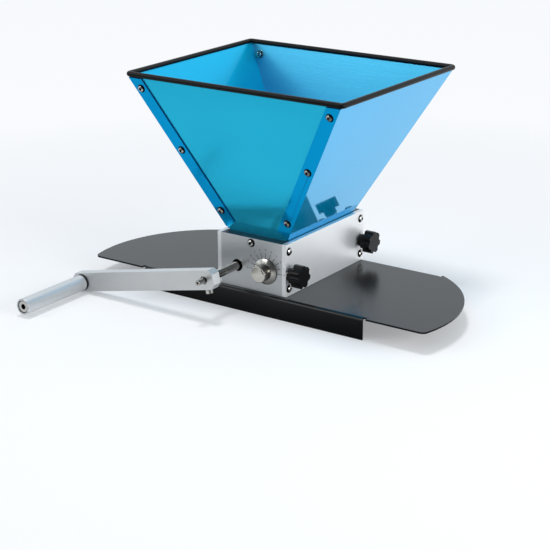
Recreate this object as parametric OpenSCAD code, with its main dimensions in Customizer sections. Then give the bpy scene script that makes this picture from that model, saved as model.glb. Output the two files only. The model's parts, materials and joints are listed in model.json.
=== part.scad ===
// Hand cranked two-roller malt mill with a sheet hopper on a folded base.
// Millimetres. X runs right along the base, Y runs back along the rollers, Z is up from the table.
// The origin is on the table, under the middle of the body.

/* [Base] */
// Width of the base over its round ends
base_w = 457; // [430:1:500]
// Height of the base's top above the table
base_h = 25; // [20:0.5:30]
// Sheet thickness of the base
base_t = 2; // [1.5:0.1:2.5]
// How far the base stands out in front of the body
base_front_overhang = 6; // [5:0.5:20]
// How far the base stands out behind the body
base_rear_overhang = 1; // [0.5:0.5:15]
// Distance of the widest line in front of the body's middle
base_widest_y = 44.5; // [35:0.5:50]
// Rounding of the base's two front corners
base_corner_r = 7; // [3:0.5:10]
// Length of the folded lips
lip_len = 296; // [260:2:306]
// Outside radius of the lips' folds
lip_fold_r = 4; // [3:0.5:6]
// Width of the relief cut at each end of a lip
lip_relief_w = 4; // [2:0.5:6]
// Sheet left between a rear relief cut and the round end
lip_margin = 1.5; // [1:0.5:6]
// Distance of the grain outlet's edges inside the body's walls
outlet_inset = 7; // [4:0.5:12]

/* [Body] */
// Height of the body's plates
body_h = 60.5; // [57:0.5:70]
// Thickness of the front and rear plates
end_t = 13; // [11:0.5:18]
// Thickness of the side plates
side_t = 5; // [4:0.5:8]
// Free space beside each roller
roller_side_clear = 2.3; // [1:0.1:5]
// Height of the side plates' lower screws above the base
side_screw_low = 9; // [7:0.5:10]
// Distance of the side plates' upper screws below the body's top
side_screw_drop = 9; // [6:0.5:12]
// Distance of the base screws from the middle
base_screw_x = 14; // [10:0.5:20]
// How far the base screws sit inwards of the end plates' middle, clear of the lips' folds
base_screw_inset = 1.8; // [0:0.1:3]
// Depth of the base screws in the plates
base_screw_depth = 11; // [8:0.5:13]
// Depth of the side plates' screws in the end plates
side_screw_depth = 14; // [10:0.5:15]

/* [Rollers] */
// Diameter of the rollers over the knurl
roller_d = 37; // [33:0.5:41]
// Length of the rollers
roller_l = 127; // [100:1:160]
// Chamfer on the rollers' ends
roller_chamfer = 1; // [0.5:0.1:2]
// Gap between the rollers with the dial at its middle
mid_gap = 1.4; // [1.3:0.1:2.5]
// Height of the rollers' bearings above the base
axle_h = 25.5; // [24:0.5:28]
// Diameter of the roller shafts
shaft_d = 9.5; // [8:0.5:11]
// Outside diameter of the spacers on the shafts
spacer_d = 15; // [13:0.5:18]
// Thickness of the spacers on the shafts
spacer_t = 3; // [2:0.5:5]
// Outside diameter of the drive shaft's bearings
bearing_d = 14; // [13:0.5:18]
// How far the bearings lie inside the plates' outer faces
bearing_inset = 1.5; // [0.5:0.5:3]

/* [Gap dial] */
// Offset of the idler shaft's bore in the dial bush
eccentricity = 1; // [0.5:0.1:1.1]
// Diameter of the dial bush in the plate
bush_d = 20; // [18:0.5:24]
// Diameter of the dial flange
dial_d = 29.5; // [26:0.5:34]
// Thickness of the dial flange
dial_t = 3.5; // [3:0.5:5]
// Width of the cone on the dial flange
dial_cone = 5; // [2:0.5:5]
// Diameter of the dial's knob
knob_d = 18.7; // [16:0.1:21]
// Length of the dial's knob
knob_l = 10.8; // [8:0.1:16]
// Chamfer on the dial's knob
knob_chamfer = 0.6; // [0.3:0.1:1]
// Dial reading at rest, in degrees from the fine end
dial_rest = 36; // [0:1:180]
// Distance of the index mark from the knob's axis
index_r = 6.9; // [5:0.1:7.5]
// Length of the index mark
index_l = 5.6; // [3:0.1:6]
// Width of the index mark
index_w = 0.9; // [0.5:0.1:1.5]
// Depth of the index mark
index_depth = 0.6; // [0.3:0.1:1]
// End of the idler shaft's bore before the plate's outer face
bore_floor = 1.5; // [1:0.5:4]

/* [Lock knobs] */
// Diameter over the star's lobes
star_d = 26; // [22:0.5:30]
// Number of lobes
star_lobes = 7; // [5:1:9]
// Thickness of the star
star_t = 12; // [9:0.5:16]
// Diameter of the scallops between the lobes
scallop_d = 7; // [5:0.5:8]
// Depth of the scallops
scallop_depth = 2.4; // [1:0.1:3]
// Diameter of the star's neck
neck_d = 15; // [12:0.5:17]
// Length of the star's neck
neck_l = 6; // [4:0.5:10]
// Diameter of the lock stud
stud_d = 6; // [5:0.5:7]
// Length of the stud inside the star knob
stud_hold = 12; // [8:0.5:14]
// Diameter of the lock washer
lock_washer_d = 13; // [11:0.5:16]
// Thickness of the lock washer
lock_washer_t = 1.2; // [0.8:0.1:2]
// Gap from the locked stud to the dial bush, and from the washer to the plate
lock_gap = 0.3; // [0.2:0.05:0.6]

/* [Hopper] */
// Width of the panels at the rim
rim_w = 281.8; // [240:0.2:320]
// Length of the panels at the rim
rim_l = 232.4; // [190:0.2:260]
// Height of the rim above the hopper's fold
hopper_h = 174.6; // [140:0.2:200]
// Height of the hopper's fold above the body
fold_lift = 1; // [0.5:0.1:3]
// Sheet thickness of the hopper
sheet_t = 1.5; // [1:0.1:2]
// Width of the lapping flanges
flange_w = 15.5; // [13:0.5:20]
// Height of the flanges' inner corners up the panel
flange_foot = 11; // [8:0.5:15]
// Height of the flanges' tips up the panel
flange_tip = 2.5; // [2:0.5:5]
// Distance of the lowest screws up the panel
hopper_screw_first = 23; // [20:0.5:30]
// Distance of the highest screws below the rim
hopper_screw_last = 18; // [14:0.5:25]
// Width of the slot between the floor flaps
throat_w = 13; // [11:0.5:20]
// Free space between the floor flaps and the rollers
flap_clear = 2; // [1:0.1:4]
// Length of the neck strips below the fold
neck_h = 16.5; // [12:0.5:18]
// Gap between the hopper's fold and the side plates
fold_side_gap = 0.4; // [0.2:0.1:1.5]
// Height of the rim trim
trim_h = 6; // [5:0.5:9]
// Thickness of the rim trim's walls
trim_wall = 2.2; // [1:0.1:2.5]
// Rounding of the rim trim's corners
trim_corner_r = 4; // [2:0.5:4.5]
// Depth of the hopper mount screws below the body's top
mount_drop = 5.6; // [5:0.1:8]

/* [Crank] */
// Distance between the shaft and the grip
crank_r = 180.5; // [150:0.5:200]
// Height of the arm's section
arm_w = 22; // [18:0.5:25]
// Thickness of the arm
arm_t = 12; // [10:0.5:14]
// Length of the arm past the shaft and past the grip
arm_end = 13; // [12:0.5:18]
// Chamfer on the arm's corners
arm_chamfer = 5; // [2:0.5:7]
// Free length of the shaft between the body and the arm
arm_gap = 49.7; // [40:0.1:60]
// Diameter of the shaft's driving stub
stub_d = 6.35; // [5:0.05:7]
// Length of the driving stub in front of the arm
stub_l = 11.2; // [8:0.1:25]
// Depth of the shaft's shoulder inside the arm
shoulder_inset = 1.5; // [0.5:0.5:4]
// Diameter of the centre hole in the stub
centre_d = 3; // [2:0.1:4]
// Depth of the centre hole in the stub
centre_depth = 4; // [2:0.5:6]
// Diameter of the grip
grip_d = 18.4; // [17:0.1:24]
// Length of the grip
grip_l = 96.7; // [70:0.1:130]
// Rounding of the grip's ends
grip_edge = 0.6; // [0.3:0.1:1]
// Diameter of the grip's counterbore
grip_counter_d = 14.6; // [14:0.1:15.5]
// Depth of the grip's counterbore
grip_counter_depth = 9.5; // [8.5:0.5:20]
// Thickness of the washer between grip and arm
grip_washer_t = 1.5; // [1:0.1:3]
// Play of the grip along its bolt, at each end
grip_float = 0.3; // [0.2:0.05:0.6]
// Gap between the resting crank and the table
crank_table_gap = 0.3; // [0.2:0.1:2]

/* [Fasteners] */
// Thread diameter of the body's screws
screw_d = 5; // [4:0.5:5.5]
// Head diameter of the body's screws
screw_head_d = 9.5; // [8.5:0.1:10.5]
// Head height of the body's screws
screw_head_h = 2.75; // [2:0.05:3.5]
// Socket of the body's screws, across flats
screw_hex = 3; // [2.5:0.5:4]
// Head diameter of the crank's clamp screw
clamp_head_d = 8.5; // [7:0.1:9.5]
// Head height of the crank's clamp screw
clamp_head_h = 5; // [4:0.1:5.5]
// Socket's width in the crank's clamp screw
clamp_hex = 4; // [3:0.5:5]
// Thread diameter of the hopper's screws
sheet_screw_d = 5; // [4:0.5:5.5]
// Head diameter of the hopper's screws
sheet_head_d = 9.5; // [8:0.1:10.5]
// Head height of the hopper's screws
sheet_head_h = 2.75; // [2:0.05:3.5]
// Socket of the hopper's screws, across flats
sheet_hex = 3; // [2.5:0.5:4]
// Thread left showing past a nut
thread_tip = 1; // [0.5:0.5:3]
// Depth of every screw's socket
socket_depth = 1.5; // [1:0.1:1.8]
// Hopper nut, across flats
sheet_nut_af = 8; // [7:0.5:9]
// Height of a hopper nut
sheet_nut_h = 4; // [3:0.1:5]
// Diameter of a hopper washer
sheet_washer_d = 10; // [9:0.5:11]
// Thickness of a hopper washer
sheet_washer_t = 1; // [0.5:0.1:1.2]
// Mount nut, across flats
nut_af = 8; // [7.5:0.5:9]
// Height of a mount nut
nut_h = 4; // [3:0.5:5]
// Diameter of the grip bolt
bolt_d = 8; // [6:0.5:8]
// Head diameter of the grip bolt
bolt_head_d = 13; // [12:0.5:13.5]
// Head height of the grip bolt
bolt_head_h = 8; // [6:0.5:8]
// Socket of the grip bolt, across flats
bolt_hex = 6; // [5:0.5:7]

/* [Fits] */
// Radial clearance of a shaft or bush that turns
run_clear = 0.05; // [0.03:0.01:0.08]
// Radial clearance of a fixed shank or pressed piece
seat_clear = 0.02; // [0.01:0.01:0.04]
// Radial clearance of a through hole
hole_clear = 0.3; // [0.2:0.05:0.5]
// Play between pieces that turn face to face
float = 0.25; // [0.2:0.05:0.4]

/* [Hidden] */
$fn = 64;

// Cutting tools reach this far past what they cut
past = 1;
// Larger than the whole mill
vast = 1000;

// Body, worked out from the rollers
inner_l = roller_l + 2 * (spacer_t + 2 * float);
body_l = inner_l + 2 * end_t;
axle_x = (roller_d + mid_gap) / 2;
inner_w = 2 * (axle_x + roller_d / 2 + eccentricity + roller_side_clear);
body_w = inner_w + 2 * side_t;
body_top = base_h + body_h;
axle_z = base_h + axle_h;
plate_y = (body_l - end_t) / 2;
base_screw_y = plate_y - base_screw_inset;
side_screw_zs = [base_h + side_screw_low, body_top - side_screw_drop];
mount_z = body_top - mount_drop;

// Base outline: each round end passes through the rear corner and is widest at base_widest_y
base_front = body_l / 2 + base_front_overhang;
base_rear = body_l / 2 + base_rear_overhang;
rear_corner_x = lip_len / 2 + lip_relief_w + lip_margin;
base_end_x = (pow(base_w / 2, 2) - pow(rear_corner_x, 2) - pow(base_rear + base_widest_y, 2))
    / (base_w - 2 * rear_corner_x);
base_end_r = base_w / 2 - base_end_x;
corner_drop = base_front - base_corner_r - base_widest_y;
corner_run = sqrt(pow(base_end_r - base_corner_r, 2) - pow(corner_drop, 2));
corner_centre = [base_end_x + corner_run, base_corner_r - base_front];
corner_dir = [corner_run, -corner_drop] / (base_end_r - base_corner_r);

// Idler shaft, moved off the bush's axis by the dial
idler_x = axle_x - eccentricity * cos(dial_rest);
idler_z = axle_z - eccentricity * sin(dial_rest);

// Hopper planes
fold_x = inner_w / 2 - fold_side_gap;
fold_y = inner_l / 2 - seat_clear;
fold_z = body_top + fold_lift;
rim_z = fold_z + hopper_h;
tilt_x = atan((rim_w / 2 - fold_x) / hopper_h);
tilt_y = atan((rim_l / 2 - fold_y) / hopper_h);
panel_v = hopper_h / cos(tilt_y);
edge_slope = (rim_w / 2 - fold_x) / panel_v;
flange_run = flange_w * sqrt(1 + edge_slope * edge_slope);
flange_top = (hopper_h - trim_h - hole_clear) / cos(tilt_y);
hopper_screw_vs = [
    hopper_screw_first, (hopper_screw_first + panel_v - hopper_screw_last) / 2,
    panel_v - hopper_screw_last
];
flap_y = fold_y - sheet_t - hole_clear;
flap_reach = fold_x - throat_w / 2;
flap_keepout = roller_d / 2 + eccentricity + flap_clear + sheet_t;
flap_dx = fold_x - axle_x;
flap_dz = fold_z - axle_z;
flap_angle = atan2(flap_dz, flap_dx) - asin(flap_keepout / norm([flap_dx, flap_dz]));

// Crank
arm_back = body_l / 2 + arm_gap;
arm_front = arm_back + arm_t;
arm_foot = [crank_r + arm_end - arm_chamfer, arm_w / 2];
arm_rest = asin((axle_z - crank_table_gap) / norm(arm_foot)) - atan2(arm_foot[1], arm_foot[0]);
grip_rest = asin((axle_z - crank_table_gap - grip_d / 2) / crank_r);
crank_drop = min(arm_rest, grip_rest);
grip_start = arm_front + grip_washer_t + grip_float;
grip_end = grip_start + grip_l;
bolt_seat = grip_end - grip_counter_depth + grip_float;

// Lock knobs
lock_tip_x = axle_x + bush_d / 2 + lock_gap;
lock_washer_x = body_w / 2 + lock_gap;
star_x = lock_washer_x + lock_washer_t + float / 2;
star_axis_r = (star_d + scallop_d) / 2 - scallop_depth;

// Colours
steel_black = "#2b2e31";
plate_metal = "#c4c7c9";
hopper_blue = "#1f9fd6";
bright_steel = "#d9dbdc";
roller_steel = "#8d9196";
bronze = "#6d5a3a";
black_plastic = "#1c1d1f";
arm_metal = "#c9cccd";

// Shared shapes

// Places its children on both sides of the YZ plane
module both_sides() {
    children();
    mirror([1, 0, 0]) children();
}

// Places its children at the front and at the rear
module both_ends() {
    children();
    mirror([0, 1, 0]) children();
}

// Button head socket screw with its head above z = 0 and its shank below
module button_screw(d, length, head_d, head_h, hex) {
    dome_r = (head_d * head_d / 4 + head_h * head_h) / (2 * head_h);
    difference() {
        union() {
            translate([0, 0, -length]) cylinder(d = d, h = length + head_h / 2);
            intersection() {
                translate([0, 0, head_h - dome_r]) sphere(r = dome_r);
                cylinder(d = head_d, h = head_h);
            }
        }
        translate([0, 0, head_h - socket_depth])
            cylinder(d = hex / cos(30), h = socket_depth + past, $fn = 6);
    }
}

// Hexagon nut that stands on z = 0
module hex_nut(d, af, h) {
    difference() {
        intersection() {
            cylinder(d = af / cos(30), h = h, $fn = 6);
            cylinder(d1 = af * 1.5, d2 = af, h = h);
        }
        translate([0, 0, -past]) cylinder(d = d + 2 * seat_clear, h = h + 2 * past);
    }
}

// Ring that stands on z = 0
module ring(outer, inner, h) {
    difference() {
        cylinder(d = outer, h = h);
        translate([0, 0, -past]) cylinder(d = inner, h = h + 2 * past);
    }
}

// Cylinder along -Y from y0 to y1, at x and z
module bar_y(d, x, z, y0, y1) {
    translate([x, y1, z]) rotate([90, 0, 0]) cylinder(d = d, h = y1 - y0);
}

// Cylinder along X from x0 to x1, at y and z
module bar_x(d, y, z, x0, x1) {
    translate([x0, y, z]) rotate([0, 90, 0]) cylinder(d = d, h = x1 - x0);
}

// Base

module base_plan() {
    base_depth = base_front + base_rear;
    difference() {
        intersection() {
            translate([-base_w / 2, -base_front]) square([base_w, base_depth]);
            union() {
                both_sides() translate([base_end_x, -base_widest_y]) circle(r = base_end_r, $fn = 180);
                translate([-base_end_x, -base_front]) square([2 * base_end_x, base_depth]);
            }
        }
        both_sides() polygon([
            corner_centre,
            corner_centre - [0, base_front],
            corner_centre + base_front * corner_dir
        ]);
    }
    both_sides() translate(corner_centre) circle(r = base_corner_r);
}

// Section of the front lip in Y and Z, with a tongue that runs into the plate
module lip_section() {
    fold = [lip_fold_r - base_front, base_h - lip_fold_r];
    intersection() {
        translate(fold) difference() {
            circle(r = lip_fold_r);
            circle(r = lip_fold_r - base_t);
        }
        translate(fold - [lip_fold_r, 0]) square(lip_fold_r);
    }
    translate([-base_front, 0]) square([base_t, fold[1]]);
    translate([fold[0], base_h - base_t]) square([past, base_t]);
}

module lip() {
    translate([-lip_len / 2, 0, 0]) rotate([90, 0, 90]) linear_extrude(lip_len) lip_section();
}

// Room for a lip at the plate's front edge, relief cuts included
module lip_room() {
    room = lip_len / 2 + lip_relief_w;
    translate([-room, -base_front - past]) square([2 * room, lip_fold_r + past]);
}

module base_plate() {
    outlet = [inner_w, inner_l] - 2 * outlet_inset * [1, 1];
    shift = base_rear - base_front;
    color(steel_black) {
        translate([0, 0, base_h - base_t]) linear_extrude(base_t) difference() {
            base_plan();
            lip_room();
            translate([0, shift]) mirror([0, 1]) lip_room();
            square(outlet, center = true);
            both_sides() both_ends() translate([base_screw_x, base_screw_y])
                circle(d = screw_d + 2 * hole_clear);
        }
        lip();
        translate([0, shift, 0]) mirror([0, 1, 0]) lip();
    }
}

module base_screws() {
    color(bright_steel) both_sides() both_ends() translate([base_screw_x, base_screw_y, base_h - base_t])
        rotate([180, 0, 0])
            button_screw(screw_d, base_t + base_screw_depth, screw_head_d, screw_head_h, screw_hex);
}

// Body

// Front plate; the rear plate is its mirror image
module end_plate() {
    tap_d = screw_d + 2 * seat_clear;
    difference() {
        translate([-inner_w / 2, -body_l / 2, base_h]) cube([inner_w, end_t, body_h]);
        bar_y(bearing_d + 2 * seat_clear, -axle_x, axle_z, -body_l / 2 - past, -inner_l / 2 + past);
        bar_y(bush_d + 2 * run_clear, axle_x, axle_z, -body_l / 2 - past, -inner_l / 2 + past);
        bar_y(screw_d + 2 * hole_clear, 0, mount_z, -body_l / 2 - past, -inner_l / 2 + past);
        bar_x(stud_d + 2 * run_clear, -plate_y, axle_z, axle_x, inner_w / 2 + past);
        both_sides() for (z = side_screw_zs)
            bar_x(tap_d, -plate_y, z, inner_w / 2 - side_screw_depth - past, inner_w / 2 + past);
        both_sides() translate([base_screw_x, -base_screw_y, base_h - past])
            cylinder(d = tap_d, h = base_screw_depth + 2 * past);
    }
}

module front_plate() {
    color(plate_metal) end_plate();
}

module rear_plate() {
    color(plate_metal) mirror([0, 1, 0]) end_plate();
}

// Plain right side plate with its four screw holes
module side_plate() {
    difference() {
        translate([inner_w / 2, -body_l / 2, base_h]) cube([side_t, body_l, body_h]);
        both_ends() for (z = side_screw_zs)
            bar_x(screw_d + 2 * hole_clear, -plate_y, z, inner_w / 2 - past, body_w / 2 + past);
    }
}

module left_side_plate() {
    color(plate_metal) mirror([1, 0, 0]) side_plate();
}

module right_side_plate() {
    color(plate_metal) difference() {
        side_plate();
        both_ends()
            bar_x(stud_d + 2 * hole_clear, -plate_y, axle_z, inner_w / 2 - past, body_w / 2 + past);
    }
}

module side_plate_screws() {
    color(bright_steel) both_sides() both_ends() for (z = side_screw_zs)
        translate([body_w / 2, -plate_y, z]) rotate([0, 90, 0])
            button_screw(screw_d, side_t + side_screw_depth, screw_head_d, screw_head_h, screw_hex);
}

// Hopper

// Half space inside the left panel's outer plane moved out by a
module inside_left(a) {
    translate([-fold_x, 0, fold_z]) rotate([0, -tilt_x, 0])
        translate([-a, -vast / 2, -vast / 2]) cube(vast);
}

// Half space inside the front panel's outer plane moved out by a
module inside_front(a) {
    translate([0, -fold_y, fold_z]) rotate([tilt_y, 0, 0])
        translate([-vast / 2, -a, -vast / 2]) cube(vast);
}

// Everything between two heights
module between(z0, z1) {
    translate([-vast / 2, -vast / 2, z0]) cube([vast, vast, z1 - z0]);
}

// Funnel solid whose sides stand a outside the panels' outer planes
module funnel(a, z0, z1) {
    intersection() {
        inside_left(a);
        mirror([1, 0, 0]) inside_left(a);
        inside_front(a);
        mirror([0, 1, 0]) inside_front(a);
        between(z0, z1);
    }
}

// Frame on the front panel's outer face: X right, Y up the panel, Z outwards
module on_front() {
    translate([0, -fold_y, fold_z]) rotate([90 + tilt_y, 0, 0]) children();
}

// Half width of the front panel's corner edge at v up the panel
function edge_u(v) = fold_x + edge_slope * v;

// Places its children at the twelve hopper screws
module at_hopper_screws() {
    both_ends() on_front() both_sides() for (v = hopper_screw_vs)
        translate([edge_u(v) - flange_run / 2, v, 0]) children();
}

module hopper_holes() {
    at_hopper_screws() translate([0, 0, -2 * sheet_t - past])
        cylinder(d = sheet_screw_d + 2 * hole_clear, h = 4 * sheet_t + 2 * past);
}

// Outline of the lapping flange in the front panel's frame, as on its right edge
module flange_outline() {
    polygon([
        [edge_u(flange_tip) + flange_run, flange_tip],
        [edge_u(flange_top) + flange_run, flange_top],
        [edge_u(flange_top) - flange_run, flange_top],
        [edge_u(flange_foot) - flange_run, flange_foot],
        [edge_u(flange_tip), flange_tip]
    ]);
}

// Lapping flange on the front panel, at its left edge, rooted in the left panel's wall
module left_flange() {
    intersection() {
        union() {
            on_front() mirror([1, 0, 0]) linear_extrude(sheet_t) flange_outline();
            difference() {
                on_front() mirror([1, 0, 0]) translate([0, 0, -past])
                    linear_extrude(sheet_t + past) flange_outline();
                inside_left(-sheet_t);
            }
        }
        inside_left(0);
    }
}

// Sloping floor flap of the left panel, with the bend that joins it to the panel
module left_flap() {
    along = [cos(flap_angle), -sin(flap_angle)];
    under = sheet_t * [-sin(flap_angle), -cos(flap_angle)];
    wall = sheet_t / cos(tilt_x);
    bend_in = wall / (1 - tan(tilt_x) * tan(flap_angle)) / cos(flap_angle);
    bend_out = sheet_t * tan(flap_angle + tilt_x);
    tip = flap_reach / cos(flap_angle);
    translate([-fold_x, flap_y, fold_z]) rotate([90, 0, 0]) linear_extrude(2 * flap_y) polygon([
        [0, 0],
        [wall, 0],
        bend_in * along,
        tip * along,
        tip * along + under,
        bend_out * along + under
    ]);
}

module left_panel() {
    wall_top = rim_z - trim_wall - seat_clear;
    difference() {
        union() {
            difference() {
                intersection() {
                    inside_left(0);
                    inside_front(0);
                    mirror([0, 1, 0]) inside_front(0);
                    between(fold_z, wall_top);
                    translate([-vast, -vast / 2, 0]) cube(vast);
                }
                inside_left(-sheet_t);
            }
            both_ends() left_flange();
            left_flap();
        }
        hopper_holes();
    }
}

module hopper_left_panel() {
    color(hopper_blue) left_panel();
}

module hopper_right_panel() {
    color(hopper_blue) mirror([1, 0, 0]) left_panel();
}

module front_panel() {
    neck_w = 2 * (fold_x - sheet_t / cos(tilt_x) - hole_clear);
    difference() {
        union() {
            difference() {
                intersection() {
                    inside_front(0);
                    inside_left(-sheet_t - seat_clear);
                    mirror([1, 0, 0]) inside_left(-sheet_t - seat_clear);
                    between(fold_z, rim_z - trim_wall - seat_clear);
                    translate([-vast / 2, -vast, 0]) cube(vast);
                }
                inside_front(-sheet_t);
            }
            translate([-neck_w / 2, -fold_y, fold_z - neck_h]) cube([neck_w, sheet_t, neck_h]);
        }
        hopper_holes();
        bar_y(screw_d + 2 * hole_clear, 0, mount_z, -fold_y - past, -fold_y + sheet_t + past);
    }
}

module hopper_front_panel() {
    color(hopper_blue) front_panel();
}

module hopper_rear_panel() {
    color(hopper_blue) mirror([0, 1, 0]) front_panel();
}

module hopper_rim_trim() {
    groove_top = rim_z - trim_wall;
    outside = [rim_w - trim_h * tan(tilt_x), rim_l - trim_h * tan(tilt_y)] / 2
        + trim_wall * [1 / cos(tilt_x), 1 / cos(tilt_y)];
    corner = outside - [trim_corner_r, trim_corner_r];
    color(black_plastic) difference() {
        intersection() {
            funnel(trim_wall, rim_z - trim_h, rim_z);
            linear_extrude(vast) difference() {
                square(2 * outside, center = true);
                both_sides() both_ends() translate(corner) difference() {
                    square(trim_corner_r + past);
                    circle(r = trim_corner_r);
                }
            }
        }
        funnel(-sheet_t - trim_wall, 0, vast);
        difference() {
            funnel(seat_clear, 0, groove_top);
            funnel(-sheet_t - seat_clear, 0, vast);
        }
    }
}

module hopper_screws() {
    grip_t = 2 * sheet_t + sheet_washer_t + sheet_nut_h;
    color(bright_steel) at_hopper_screws() translate([0, 0, sheet_t])
        button_screw(sheet_screw_d, grip_t + thread_tip, sheet_head_d, sheet_head_h, sheet_hex);
}

module hopper_washers() {
    color(bright_steel) at_hopper_screws() translate([0, 0, -sheet_t - sheet_washer_t])
        ring(sheet_washer_d, sheet_screw_d + 2 * hole_clear, sheet_washer_t);
}

module hopper_nuts() {
    color(bright_steel) at_hopper_screws() translate([0, 0, -sheet_t - sheet_washer_t])
        rotate([180, 0, 0]) hex_nut(sheet_screw_d, sheet_nut_af, sheet_nut_h);
}

module hopper_mount_screws() {
    grip_t = end_t + seat_clear + sheet_t + nut_h;
    color(bright_steel) both_ends() translate([0, -body_l / 2, mount_z]) rotate([90, 0, 0])
        button_screw(screw_d, grip_t + thread_tip, screw_head_d, screw_head_h, screw_hex);
}

module hopper_mount_nuts() {
    color(bright_steel) both_ends() translate([0, sheet_t - fold_y, mount_z]) rotate([-90, 0, 0])
        hex_nut(screw_d, nut_af, nut_h);
}

// Rollers

// Knurled sleeve on a shaft at x and z
module roller(x, z) {
    translate([x, -roller_l / 2, z]) rotate([-90, 0, 0]) difference() {
        rotate_extrude() polygon([
            [0, 0],
            [roller_d / 2 - roller_chamfer, 0],
            [roller_d / 2, roller_chamfer],
            [roller_d / 2, roller_l - roller_chamfer],
            [roller_d / 2 - roller_chamfer, roller_l],
            [0, roller_l]
        ]);
        translate([0, 0, -past]) cylinder(d = shaft_d + 2 * seat_clear, h = roller_l + 2 * past);
    }
}

// Spacers between a roller's ends and the plates
module spacers(x, z) {
    both_ends() translate([x, -roller_l / 2 - float, z]) rotate([90, 0, 0])
        ring(spacer_d, shaft_d + 2 * seat_clear, spacer_t);
}

module drive_shaft() {
    shoulder = arm_front - shoulder_inset;
    tip = arm_front + stub_l;
    color(bright_steel) difference() {
        union() {
            bar_y(shaft_d, -axle_x, axle_z, -shoulder, body_l / 2 - bearing_inset);
            bar_y(stub_d, -axle_x, axle_z, -tip, 0);
        }
        bar_y(centre_d, -axle_x, axle_z, -tip - past, -tip + centre_depth);
    }
}

module drive_roller() {
    color(roller_steel) roller(-axle_x, axle_z);
}

module drive_spacers() {
    color(black_plastic) spacers(-axle_x, axle_z);
}

// Plain bearing in the front plate; the rear one is its mirror image
module bearing() {
    translate([-axle_x, -inner_l / 2, axle_z]) rotate([90, 0, 0])
        ring(bearing_d, shaft_d + 2 * run_clear, end_t - bearing_inset);
}

module front_bearing() {
    color(bronze) bearing();
}

module rear_bearing() {
    color(bronze) mirror([0, 1, 0]) bearing();
}

module idler_shaft() {
    idler_end = body_l / 2 - bore_floor - float;
    color(bright_steel) bar_y(shaft_d, idler_x, idler_z, -idler_end, idler_end);
}

module idler_roller() {
    color(roller_steel) roller(idler_x, idler_z);
}

module idler_spacers() {
    color(black_plastic) spacers(idler_x, idler_z);
}

// Gap dial

// Eccentric bush, dial flange and knob in one turned piece, on the front plate
module adjuster() {
    face = float / 2 + dial_t;
    cone = min(dial_cone, (dial_d - knob_d) / 2 - float);
    difference() {
        translate([axle_x, -body_l / 2, axle_z]) rotate([90, 0, 0]) difference() {
            rotate_extrude() polygon([
                [0, -end_t],
                [bush_d / 2, -end_t],
                [bush_d / 2, float / 2],
                [dial_d / 2, float / 2],
                [dial_d / 2, face - cone / 2],
                [dial_d / 2 - cone, face],
                [knob_d / 2, face],
                [knob_d / 2, face + knob_l - knob_chamfer],
                [knob_d / 2 - knob_chamfer, face + knob_l],
                [0, face + knob_l]
            ]);
            rotate([0, 0, dial_rest]) translate([index_r, 0, face + knob_l])
                cube([index_w, index_l, 2 * index_depth], center = true);
        }
        bar_y(shaft_d + 2 * run_clear, idler_x, idler_z, -body_l / 2 + bore_floor, 0);
    }
}

module front_adjuster() {
    color(bright_steel) adjuster();
}

module rear_adjuster() {
    color(bright_steel) mirror([0, 1, 0]) adjuster();
}

// Lock knobs

module lock_washer() {
    translate([lock_washer_x, -plate_y, axle_z]) rotate([0, 90, 0])
        ring(lock_washer_d, stud_d + 2 * hole_clear, lock_washer_t);
}

module lock_knob() {
    translate([star_x, -plate_y, axle_z]) rotate([0, 90, 0]) difference() {
        union() {
            cylinder(d = neck_d, h = neck_l + past);
            translate([0, 0, neck_l]) difference() {
                cylinder(d = star_d, h = star_t);
                for (i = [0 : star_lobes - 1]) rotate([0, 0, 360 * i / star_lobes])
                    translate([star_axis_r, 0, -past]) cylinder(d = scallop_d, h = star_t + 2 * past);
            }
        }
        translate([0, 0, -past]) cylinder(d = stud_d + 2 * seat_clear, h = stud_hold + seat_clear + past);
    }
}

module lock_stud() {
    bar_x(stud_d, -plate_y, axle_z, lock_tip_x, star_x + stud_hold);
}

module front_lock_washer() {
    color(bright_steel) lock_washer();
}

module front_lock_knob() {
    color(black_plastic) lock_knob();
}

module front_lock_stud() {
    color(bright_steel) lock_stud();
}

module rear_lock_washer() {
    color(bright_steel) mirror([0, 1, 0]) lock_washer();
}

module rear_lock_knob() {
    color(black_plastic) mirror([0, 1, 0]) lock_knob();
}

module rear_lock_stud() {
    color(bright_steel) mirror([0, 1, 0]) lock_stud();
}

// Crank

// Frame on the drive shaft's axis, with the arm along -X
module crank_frame() {
    translate([-axle_x, 0, axle_z]) rotate([0, -crank_drop, 0]) children();
}

module crank_arm() {
    half = arm_w / 2;
    left = -crank_r - arm_end;
    color(arm_metal) crank_frame() difference() {
        translate([0, -arm_back, 0]) rotate([90, 0, 0]) linear_extrude(arm_t) polygon([
            [left + arm_chamfer, -half],
            [arm_end - arm_chamfer, -half],
            [arm_end, arm_chamfer - half],
            [arm_end, half - arm_chamfer],
            [arm_end - arm_chamfer, half],
            [left + arm_chamfer, half],
            [left, half - arm_chamfer],
            [left, arm_chamfer - half]
        ]);
        bar_y(shaft_d + 2 * seat_clear, 0, 0, -arm_front - past, -arm_back + past);
        bar_y(bolt_d + 2 * seat_clear, -crank_r, 0, -arm_front - past, -arm_back + past);
        translate([0, -arm_back - arm_t / 2, -half - past])
            cylinder(d = screw_d + 2 * seat_clear, h = half + past);
    }
}

module crank_clamp_screw() {
    length = (arm_w - shaft_d) / 2 - float;
    color(bright_steel) crank_frame()
        translate([0, -arm_back - arm_t / 2, -arm_w / 2]) rotate([180, 0, 0]) difference() {
            union() {
                translate([0, 0, -length]) cylinder(d = screw_d, h = length + clamp_head_h / 2);
                cylinder(d = clamp_head_d, h = clamp_head_h);
            }
            translate([0, 0, clamp_head_h / 2]) cylinder(d = clamp_hex / cos(30), h = clamp_head_h, $fn = 6);
        }
}

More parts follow.
